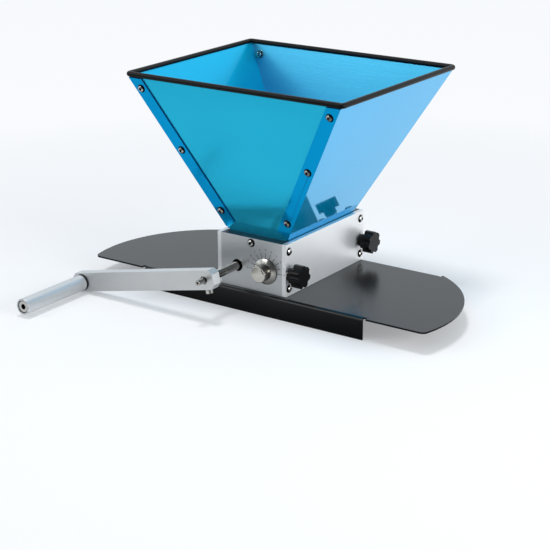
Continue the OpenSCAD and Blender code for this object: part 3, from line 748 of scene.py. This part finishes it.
@dataclass
class Hopper(SubAssembly):
    """The hopper's four sheets, its edge trim and its fasteners.

    Attributes:
        sheared_mm: Faces narrower than this are the sheets' sheared edges.
        sheared_run: How many such widths long a sheared edge is at least.
        lean_deg: How far the front and rear sheets lean out.
        side_lean_deg: How far the left and right sheets lean out.
        bend_mm: Radius of the trim's middle line at the rim's corners.
        facets: Facets round the trim.
        bend_steps: Facets along each of its bends.
    """

    sheared_mm: float = 2.2
    sheared_run: float = 6.0
    lean_deg: float = 15.7
    side_lean_deg: float = 29.9
    bend_mm: float = 3.2
    facets: int = 24
    bend_steps: int = 6

    def build(self) -> None:
        """Dresses the hopper."""
        lean, side_lean = math.radians(self.lean_deg), math.radians(self.side_lean_deg)
        outward = Vector((0, math.cos(lean), -math.sin(lean)))
        for node, side in (("hopper_left_panel", -1), ("hopper_right_panel", 1)):
            panel = self.dress(node, ANODISED_SIDE, SHEET)
            sideways = Vector((side * math.cos(side_lean), 0, -math.sin(side_lean)))
            # Their inner faces get the lighter copy: painted light.
            self.refinish(panel, LIT_INSIDE_SIDE, sideways, INNER_FACE_DEG)
            self.refinish(panel, FOLDED_FLANGE, outward, OUTER_FACE_DEG)
            self.shear(panel)
        for node in ("hopper_front_panel", "hopper_rear_panel"):
            panel = self.dress(node, ANODISED_END, SHEET)
            # Their inner faces get the paler copy: painted light.
            self.refinish(panel, LIT_INSIDE_END, outward, INNER_FACE_DEG)
            self.shear(panel)
        self.trim_rim("hopper_rim_trim")
        self.fasten("hopper_screws", outward)
        self.fasten("hopper_mount_screws", Vector((0, 1, 0)))
        for node in ("hopper_washers", "hopper_nuts", "hopper_mount_nuts"):
            self.dress(node, STAINLESS, FINE)

    def shear(self, panel: bpy.types.Object) -> None:
        """Paints the narrow cut faces round a sheet dark navy: painted shade.

        Args:
            panel: The dressed sheet.
        """
        # The narrow cut faces are painted dark navy: painted shade.
        cut_edge_shade = add_finish(panel, SHADED_CUT_EDGE)
        width = self.sheared_mm * MM
        for face in panel.data.polygons:
            corners = [panel.data.vertices[i].co for i in face.vertices]
            longest = max((b - a).length for a, b in zip(corners, corners[1:] + corners[:1]))
            if face.area < longest * width and longest > self.sheared_run * width:
                face.material_index = cut_edge_shade

    def trim_rim(self, node: str) -> bpy.types.Object:
        """Bends a round rubber bead round the rim.

        Args:
            node: The trim's node.

        Returns:
            The bead.
        """
        low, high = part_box(node)
        radius = (high.z - low.z) / 2
        bend = self.bend_mm * MM
        middle = Vector((0, 0, (low.z + high.z) / 2))
        reach = Vector((high.x - radius - bend, high.y - radius - bend, 0))
        shape = bmesh.new()
        start = (
            Matrix.Translation(middle + Vector((reach.x + bend, -reach.y, 0)))
            @ Matrix.Rotation(math.pi / 2, 4, "X")
        )
        ring = bmesh.ops.create_circle(
            shape, cap_ends=False, radius=radius, segments=self.facets, matrix=start
        )["verts"]
        loop = list({edge for vert in ring for edge in vert.link_edges})
        runs = ((0, 2 * reach.y), (-2 * reach.x, 0), (0, -2 * reach.y), (2 * reach.x, 0))
        corners = ((1, 1), (-1, 1), (-1, -1), (1, -1))
        for run, corner in zip(runs, corners):
            grown = bmesh.ops.extrude_edge_only(shape, edges=loop)["geom"]
            verts = [g for g in grown if isinstance(g, bmesh.types.BMVert)]
            bmesh.ops.translate(shape, verts=verts, vec=(*run, 0))
            loop = [g for g in grown if isinstance(g, bmesh.types.BMEdge)
                    and all(v in verts for v in g.verts)]
            pivot = middle + Vector((corner[0] * reach.x, corner[1] * reach.y, 0))
            turned = bmesh.ops.spin(
                shape, geom=verts + loop, cent=pivot, axis=(0, 0, 1), dvec=(0, 0, 0),
                angle=math.pi / 2, steps=self.bend_steps, use_merge=False, use_duplicate=False,
            )["geom_last"]
            loop = [g for g in turned if isinstance(g, bmesh.types.BMEdge)]
        bmesh.ops.remove_doubles(shape, verts=shape.verts, dist=SEAM_MM * MM)
        bmesh.ops.recalc_face_normals(shape, faces=shape.faces)
        mark_sharp(shape, DEBURRED.sharp_deg)
        bead = self.place(shape, "rim_bead", self.body_of(node), EDGE_RUBBER)
        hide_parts(node)
        return bead


@dataclass
class Rollers(SubAssembly):
    """The driven roller and the idler, with their shafts, spacers and bearings.

    Attributes:
        pitch_mm: Spacing of the knurl's points.
        depth_mm: Depth of the knurl.
        chamfer_mm: Chamfer at the roller's ends.
    """

    pitch_mm: float = 1.6
    depth_mm: float = 0.45
    chamfer_mm: float = 0.8

    def build(self) -> None:
        """Makes the rollers and dresses what carries them."""
        for side in ("drive", "idler"):
            self.knurled(f"{side}_roller")
            self.dress(f"{side}_shaft", GROUND_STEEL, FINE)
            self.dress(f"{side}_spacers", NYLON, FINE)
        # The bearings' nearly black colour is painted shade.
        for node in ("front_bearing", "rear_bearing"):
            self.dress(node, SHADE_DARK_BRONZE, FINE)

    def knurled(self, node: str) -> bpy.types.Object:
        """Spins a roller from its section and presses a diamond knurl in it.

        Args:
            node: The roller's node.

        Returns:
            The knurled roller.
        """
        low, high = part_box(node)
        middle = (low + high) / 2
        radius = (high.x - low.x) / 2
        solid = self.frame["nodes"][node].data
        bore = min(math.hypot(v.co.x - middle.x, v.co.z - middle.z) for v in solid.vertices)
        chamfer = self.chamfer_mm * MM
        rows = 2 * round((high.y - low.y - 2 * chamfer) / (self.pitch_mm * MM))
        around = 2 * round(2 * math.pi * radius / (self.pitch_mm * MM))
        step = (high.y - low.y - 2 * chamfer) / rows
        section = [(bore, low.y), (radius - chamfer, low.y)]
        section += [(radius, low.y + chamfer + row * step) for row in range(rows + 1)]
        section += [(radius - chamfer, high.y), (bore, high.y)]
        shape = bmesh.new()
        ring = [shape.verts.new((middle.x + r, y, middle.z)) for r, y in section]
        edges = [shape.edges.new((a, b)) for a, b in zip(ring, ring[1:] + ring[:1])]
        bmesh.ops.spin(
            shape, geom=ring + edges, cent=middle, axis=(0, 1, 0), dvec=(0, 0, 0),
            angle=2 * math.pi, steps=around, use_merge=True, use_duplicate=False,
        )
        bmesh.ops.recalc_face_normals(shape, faces=shape.faces)
        for vert in shape.verts:
            out = Vector((vert.co.x - middle.x, 0, vert.co.z - middle.z))
            if out.length < radius - SEAM_MM * MM:
                continue
            row = round((vert.co.y - low.y - chamfer) / step)
            turn = round(math.atan2(out.z, out.x) / (2 * math.pi) * around)
            if (row + turn) % 2:
                vert.co -= out.normalized() * self.depth_mm * MM
        piece = self.place(shape, f"{node}_knurled", self.body_of(node), KNURLED_STEEL)
        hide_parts(node)
        return piece


@dataclass
class GapDials(SubAssembly):
    """The two eccentric bushes that set the gap, with their dial flanges and knobs.

    Attributes:
        knob_r_mm: What lies further than this from the axis is flange.
        index_turn_deg: Where the dark strip lies round the axis at rest.
        index_r_mm: Distance of the strip from the axis.
        index_size_mm: Width, length and depth of the dark strip.
        index_sunk_mm: Depth of the strip's middle under the knob's face.
    """

    knob_r_mm: float = 9.7
    index_turn_deg: float = 36.0
    index_r_mm: float = 6.9
    index_size_mm: tuple[float, float, float] = (0.86, 5.5, 0.5)
    index_sunk_mm: float = 0.35

    def build(self) -> None:
        """Dresses the dials and sinks a short dark strip in each knob's face."""
        for end, facing in (("front", -1.0), ("rear", 1.0)):
            node = f"{end}_adjuster"
            dial = self.dress(node, TURNED_STEEL, FINE)
            self.turn_flange(dial, axis_of(node))
            # The sides of the knob and of the flange are painted darker: painted shade.
            self.refinish(dial, SHADED_DIAL_SIDE, Vector((0, 1, 0)), SIDE_FACE_DEG)
            self.paint_index(node, facing)

    def turn_flange(self, dial: bpy.types.Object, axis: Vector) -> None:
        """Gives the faces beyond a dial's knob their turning marks.

        Both dials turn on one axis, so they share one material.

        Args:
            dial: The dressed dial.
            axis: A point on its axis.
        """
        marks = replace(FLANGE_STEEL.grain, centre=tuple(axis))
        turned = add_finish(dial, replace(FLANGE_STEEL, grain=marks))
        for face in dial.data.polygons:
            out = max(
                math.hypot(v.co.x - axis.x, v.co.z - axis.z)
                for v in (dial.data.vertices[i] for i in face.vertices)
            )
            if out > self.knob_r_mm * MM:
                face.material_index = turned

    def paint_index(self, node: str, facing: float) -> None:
        """Sinks a short dark strip in a knob's face, near its rim and along it.

        Args:
            node: The dial's node.
            facing: -1 for the front dial, 1 for the rear one.
        """
        low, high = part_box(node)
        middle = (low + high) / 2
        face_y = low.y if facing < 0 else high.y
        width, length, depth = (size * MM for size in self.index_size_mm)
        turn = math.radians(self.index_turn_deg)
        shape = bmesh.new()
        place = (
            Matrix.Translation((middle.x, face_y - facing * self.index_sunk_mm * MM, middle.z))
            @ Matrix.Rotation(-turn, 4, "Y")
            @ Matrix.Translation((self.index_r_mm * MM, 0, 0))
            @ Matrix.Diagonal((width, depth, length, 1))
        )
        bmesh.ops.create_cube(shape, size=1.0, matrix=place)
        self.place(shape, f"{node}_index", self.body_of(node), DARK_KNOB_MARK)


@dataclass
class LockScrews(SubAssembly):
    """The star knobs that lock the dials, with their studs and washers."""

    def build(self) -> None:
        """Dresses the lock screws."""
        for end in ("front", "rear"):
            self.dress(f"{end}_lock_knob", PHENOLIC, MOULDED)
            self.dress(f"{end}_lock_stud", STAINLESS, FINE)
            self.dress(f"{end}_lock_washer", STAINLESS, FINE)


@dataclass
class Crank(SubAssembly):
    """The crank arm, its clamp screw and the grip that turns on its bolt."""

    def build(self) -> None:
        """Dresses the crank."""
        arm = self.dress("crank_arm", SATIN_ALUMINIUM, TUMBLED)
        self.refinish(arm, TUMBLED_ALUMINIUM, Vector((0, 1, 0)), SIDE_FACE_DEG)
        # The arm's end, which faces the right lamp, gets the paler copy: painted light.
        self.refinish(arm, PALE_LIT_ALUMINIUM, Vector((1, 0, 0)), ARM_END_DEG)
        self.dress("crank_clamp_screw", STAINLESS, FINE)
        self.dress("grip_tube", TUMBLED_ALUMINIUM, TUMBLED)
        self.fasten("grip_bolt", Vector((0, 1, 0)))
        self.dress("grip_washer", WASHER_NYLON, FINE)


@dataclass(frozen=True)
class Viewpoint:
    """Where the photograph was taken from.

    Attributes:
        azimuth_deg: Turn of the camera round the mill, from the front to the right.
        elevation_deg: Height of the camera over the horizon.
        roll_deg: Tilt of the picture.
        side_mm: Camera's place along the picture's width.
        rise_mm: Camera's place along the picture's height.
        distance_mm: Camera's distance from the origin, along its view.
        lens_mm: Focal length.
        sensor_mm: The sensor's width.
        clip_m: Nearest and furthest distance that is shown.
    """

    azimuth_deg: float = 34.884
    elevation_deg: float = 19.404
    roll_deg: float = -0.185
    side_mm: float = -19.734
    rise_mm: float = 18.114
    distance_mm: float = 1781.086
    lens_mm: float = 100.8
    sensor_mm: float = 36.0
    clip_m: tuple[float, float] = (0.01, 50.0)

    def matrix(self) -> Matrix:
        """Works out where the camera stands and how it is turned.

        Returns:
            Its place, in metres, and its turn.
        """
        around, up_turn, roll = (
            math.radians(a) for a in (self.azimuth_deg, self.elevation_deg, self.roll_deg)
        )
        right = Vector((math.cos(around), math.sin(around), 0))
        back = Vector((
            math.sin(around) * math.cos(up_turn),
            -math.cos(around) * math.cos(up_turn),
            math.sin(up_turn),
        ))
        up = back.cross(right)
        side = math.cos(roll) * right + math.sin(roll) * up
        top = -math.sin(roll) * right + math.cos(roll) * up
        spot = (side * self.side_mm + top * self.rise_mm + back * self.distance_mm) * MM
        turned = Matrix((side, top, back)).transposed().to_4x4()
        return Matrix.Translation(spot) @ turned


@dataclass(frozen=True)
class Softbox:
    """One soft lamp of the studio.

    Attributes:
        name: The lamp's name.
        place_m: Where it hangs.
        aim_m: What it points at.
        size_m: Its width and height.
        watts: Its power.
    """

    name: str
    place_m: tuple[float, float, float]
    aim_m: tuple[float, float, float]
    size_m: tuple[float, float]
    watts: float


SOFTBOXES = (
    Softbox("front_softbox", (-1.1, -1.5, 1.15), (0.0, 0.0, 0.1), (0.9, 0.7), 5.0),
    Softbox("right_softbox", (1.8, -0.2, 0.55), (0.0, 0.0, 0.1), (1.0, 0.8), 19.0),
    Softbox("top_softbox", (-0.1, -0.2, 2.0), (-0.1, -0.2, 0.0), (0.4, 0.4), 15.0),
)


@dataclass
class Studio:
    """The pale floor, soft light, bright backdrop and camera.

    Attributes:
        floor_m: Size of the floor.
        floor_colour: The floor's colour.
        glow: Share of the floor that stays bright to the eye, by the mill and far from it.
        mirrored_glow: The same share where a reflection shows the floor.
        dark_end: How bright the room behind the camera looks in reflections.
        dark_way: Where that dark end of the room lies.
        dark_foot: How bright the floor along the front lip, and before the mill to its right, looks
            in reflections: a painted shadow that only reflections show.
        front: How bright the floor before the mill looks in reflections.
        paper_white: Colour of the bright floor.
        backdrop: Colour of the backdrop.
        fill: Strength of the light from all round.
        glow_m: Distances between which the floor grows bright.
        front_m: Places along Y between which the floor before the mill grows bright in reflections.
        back_m: Places along Y between which it reaches the bright floor behind.
        right_m: Places along X between which it grows dark to the right.
        lip_m: Place of the front lip along Y.
        foot_m: Distances from the lip between which its dark foot ends.
        dark_spread: Share of dark_way's direction where the dark end is full and where it ends.
        viewpoint: Where the camera stands.
    """

    floor_m: float = 12.0
    floor_colour: str = "#FCFDFE"
    glow: tuple[float, float] = (0.3, 0.95)
    mirrored_glow: float = 0.85
    dark_end: float = 0.08
    dark_way: tuple[float, float, float] = (0.53, -0.76, 0.38)
    dark_foot: float = 0.15
    front: float = 0.72
    paper_white: str = "#FAFCFF"
    backdrop: str = "#EDF5FB"
    fill: float = 0.5
    glow_m: tuple[float, float] = (0.35, 0.9)
    front_m: tuple[float, float] = (-0.60, -0.32)
    back_m: tuple[float, float] = (-0.06, 0.06)
    right_m: tuple[float, float] = (0.0, 0.12)
    lip_m: float = -0.09
    foot_m: tuple[float, float] = (0.02, 0.12)
    dark_spread: tuple[float, float] = (0.8, -0.1)
    viewpoint: Viewpoint = field(default_factory=Viewpoint)

    def build(self) -> None:
        """Sets up the studio."""
        self.lay_floor()
        self.light_room()
        for box in SOFTBOXES:
            self.hang(box)
        self.set_camera()
        bpy.context.scene.view_settings.view_transform = "Standard"

    def seen_or_mirrored(self, tree: Tree) -> Socket:
        """Tells rays that the camera, a reflection or a clear piece sees from the rest.

        Args:
            tree: The node tree of the floor or the world.

        Returns:
            A socket that is 1 for those rays.
        """
        ray = add_node(tree, "ShaderNodeLightPath")
        pair = add_node(tree, "ShaderNodeMath", {
            0: ray.outputs["Is Camera Ray"], 1: ray.outputs["Is Glossy Ray"],
        }, operation="MAXIMUM")
        every = add_node(tree, "ShaderNodeMath", {
            0: pair.outputs[0], 1: ray.outputs["Is Transmission Ray"],
        }, operation="MAXIMUM")
        return every.outputs[0]

    def lay_floor(self) -> None:
        """Lays the floor that the mill stands on."""
        shape = bmesh.new()
        bmesh.ops.create_grid(shape, x_segments=1, y_segments=1, size=self.floor_m / 2)
        floor = bpy.data.objects.new("floor", as_mesh(shape, "floor"))
        bpy.context.scene.collection.objects.link(floor)
        floor.data.materials.append(self.paper())

    def paper(self) -> bpy.types.Material:
        """Makes the floor's paper: matt to the lamps, bright to the eye, and in reflections bright
        apart from before the mill, where it is darker and holds a painted shadow.

        Returns:
            The paper.
        """
        made = bpy.data.materials.new("matt_paper")
        tree = bare_tree(made)
        coords = add_node(tree, "ShaderNodeTexCoord").outputs["Object"]
        away = add_node(tree, "ShaderNodeVectorMath", {0: coords}, operation="LENGTH")
        glow = add_node(tree, "ShaderNodeMapRange", {
            "Value": away.outputs["Value"], "From Min": self.glow_m[0], "From Max": self.glow_m[1],
            "To Min": self.glow[0], "To Max": self.glow[1],
        })
        ray = add_node(tree, "ShaderNodeLightPath")
        held = add_node(tree, "ShaderNodeMix", {
            "Factor": ray.outputs["Is Glossy Ray"],
            NUMBER_A: glow.outputs["Result"], NUMBER_B: self.mirrored_glow,
        }, data_type="FLOAT")
        share = add_node(tree, "ShaderNodeMath", {
            0: self.seen_or_mirrored(tree), 1: held.outputs[0],
        }, operation="MULTIPLY")
        level = add_node(tree, "ShaderNodeMix", {
            "Factor": ray.outputs["Is Glossy Ray"],
            NUMBER_A: 1.0, NUMBER_B: self.mirrored_level(tree, coords),
        }, data_type="FLOAT")
        matt = add_node(tree, "ShaderNodeBsdfDiffuse", {"Color": linear(self.floor_colour)})
        bright = add_node(tree, "ShaderNodeEmission", {
            "Color": linear(self.paper_white), "Strength": level.outputs[0],
        })
        both = add_node(tree, "ShaderNodeMixShader", {
            0: share.outputs[0], 1: matt.outputs[0], 2: bright.outputs[0],
        })
        add_node(tree, "ShaderNodeOutputMaterial", {"Surface": both.outputs[0]})
        return made

    def mirrored_level(self, tree: Tree, coords: Socket) -> Socket:
        """Works out how bright each spot of the floor looks in a reflection, with a painted shadow
        along the front lip and before the mill to its right.

        Args:
            tree: The floor's node tree.
            coords: Object coordinates, in metres.

        Returns:
            The socket that holds the brightness.
        """
        place = add_node(tree, "ShaderNodeSeparateXYZ", {"Vector": coords})
        far = add_node(tree, "ShaderNodeMapRange", {
            "Value": place.outputs["Y"], "From Min": self.front_m[0], "From Max": self.front_m[1],
            "To Min": self.dark_end, "To Max": self.front,
        })
        back = add_node(tree, "ShaderNodeMapRange", {
            "Value": place.outputs["Y"], "From Min": self.back_m[0], "From Max": self.back_m[1],
        })
        # Before the mill and to its right the floor is dimmed in reflections: painted shadow.
        right = add_node(tree, "ShaderNodeMapRange", {
            "Value": place.outputs["X"], "From Min": self.right_m[0], "From Max": self.right_m[1],
            "To Min": 1.0, "To Max": self.dark_foot,
        })
        before = add_node(tree, "ShaderNodeMath", {
            0: far.outputs["Result"], 1: right.outputs["Result"],
        }, operation="MULTIPLY")
        ground = add_node(tree, "ShaderNodeMix", {
            "Factor": back.outputs["Result"], NUMBER_A: before.outputs[0], NUMBER_B: 1.0,
        }, data_type="FLOAT")
        # Along the front lip the floor is dimmed in reflections: painted shadow.
        off_lip = add_node(tree, "ShaderNodeMath", {
            0: place.outputs["Y"], 1: self.lip_m,
        }, operation="SUBTRACT")
        gap = add_node(tree, "ShaderNodeMath", {0: off_lip.outputs[0]}, operation="ABSOLUTE")
        foot = add_node(tree, "ShaderNodeMapRange", {
            "Value": gap.outputs[0], "From Min": self.foot_m[0], "From Max": self.foot_m[1],
            "To Min": self.dark_foot, "To Max": 1.0,
        })
        mirrored = add_node(tree, "ShaderNodeMath", {
            0: ground.outputs[0], 1: foot.outputs["Result"],
        }, operation="MULTIPLY")
        return mirrored.outputs[0]

    def light_room(self) -> None:
        """Makes the backdrop white for the camera and softer as a light."""
        world = bpy.data.worlds.new("studio")
        tree = bare_tree(world)
        seen = self.seen_or_mirrored(tree)
        ray = add_node(tree, "ShaderNodeLightPath")
        towards = add_node(tree, "ShaderNodeTexCoord").outputs["Generated"]
        depth = add_node(tree, "ShaderNodeVectorMath", {
            0: towards, 1: self.dark_way,
        }, operation="DOT_PRODUCT")
        room = add_node(tree, "ShaderNodeMapRange", {
            "Value": depth.outputs["Value"], "From Min": self.dark_spread[0],
            "From Max": self.dark_spread[1], "To Min": self.dark_end, "To Max": 1.0,
        })
        shown = add_node(tree, "ShaderNodeMix", {
            "Factor": ray.outputs["Is Camera Ray"],
            NUMBER_A: room.outputs["Result"], NUMBER_B: 1.0,
        }, data_type="FLOAT")
        level = add_node(tree, "ShaderNodeMix", {
            "Factor": seen, NUMBER_A: self.fill, NUMBER_B: shown.outputs[0],
        }, data_type="FLOAT")
        sky = add_node(tree, "ShaderNodeBackground", {
            "Color": linear(self.backdrop), "Strength": level.outputs[0],
        })
        add_node(tree, "ShaderNodeOutputWorld", {"Surface": sky.outputs[0]})
        bpy.context.scene.world = world

    def hang(self, box: Softbox) -> None:
        """Hangs one soft lamp.

        Args:
            box: The lamp's place, size and power.
        """
        lamp = bpy.data.lights.new(box.name, "AREA")
        lamp.shape = "RECTANGLE"
        lamp.size, lamp.size_y = box.size_m
        lamp.energy = box.watts
        holder = bpy.data.objects.new(box.name, lamp)
        aim = Vector(box.aim_m) - Vector(box.place_m)
        holder.rotation_euler = aim.to_track_quat("-Z", "Y").to_euler()
        holder.location = box.place_m
        bpy.context.scene.collection.objects.link(holder)

    def set_camera(self) -> None:
        """Puts the camera where the photograph was taken."""
        lens = bpy.data.cameras.new("camera")
        lens.sensor_width = self.viewpoint.sensor_mm
        lens.lens = self.viewpoint.lens_mm
        lens.clip_start, lens.clip_end = self.viewpoint.clip_m
        camera = bpy.data.objects.new("camera", lens)
        camera.matrix_world = self.viewpoint.matrix()
        bpy.context.scene.collection.objects.link(camera)
        bpy.context.scene.camera = camera


def main() -> None:
    """Builds the mill's looks and the studio, in order."""
    logging.basicConfig(level=logging.INFO, format="%(name)s: %(message)s")
    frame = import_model()
    pieces = 0
    for kind in (Base, Body, Hopper, Rollers, GapDials, LockScrews, Crank):
        group = kind(frame)
        group.build()
        pieces += len(group.made)
    Studio().build()
    LOG.info("%d pieces dressed", pieces)


if __name__ == "__main__":
    main()
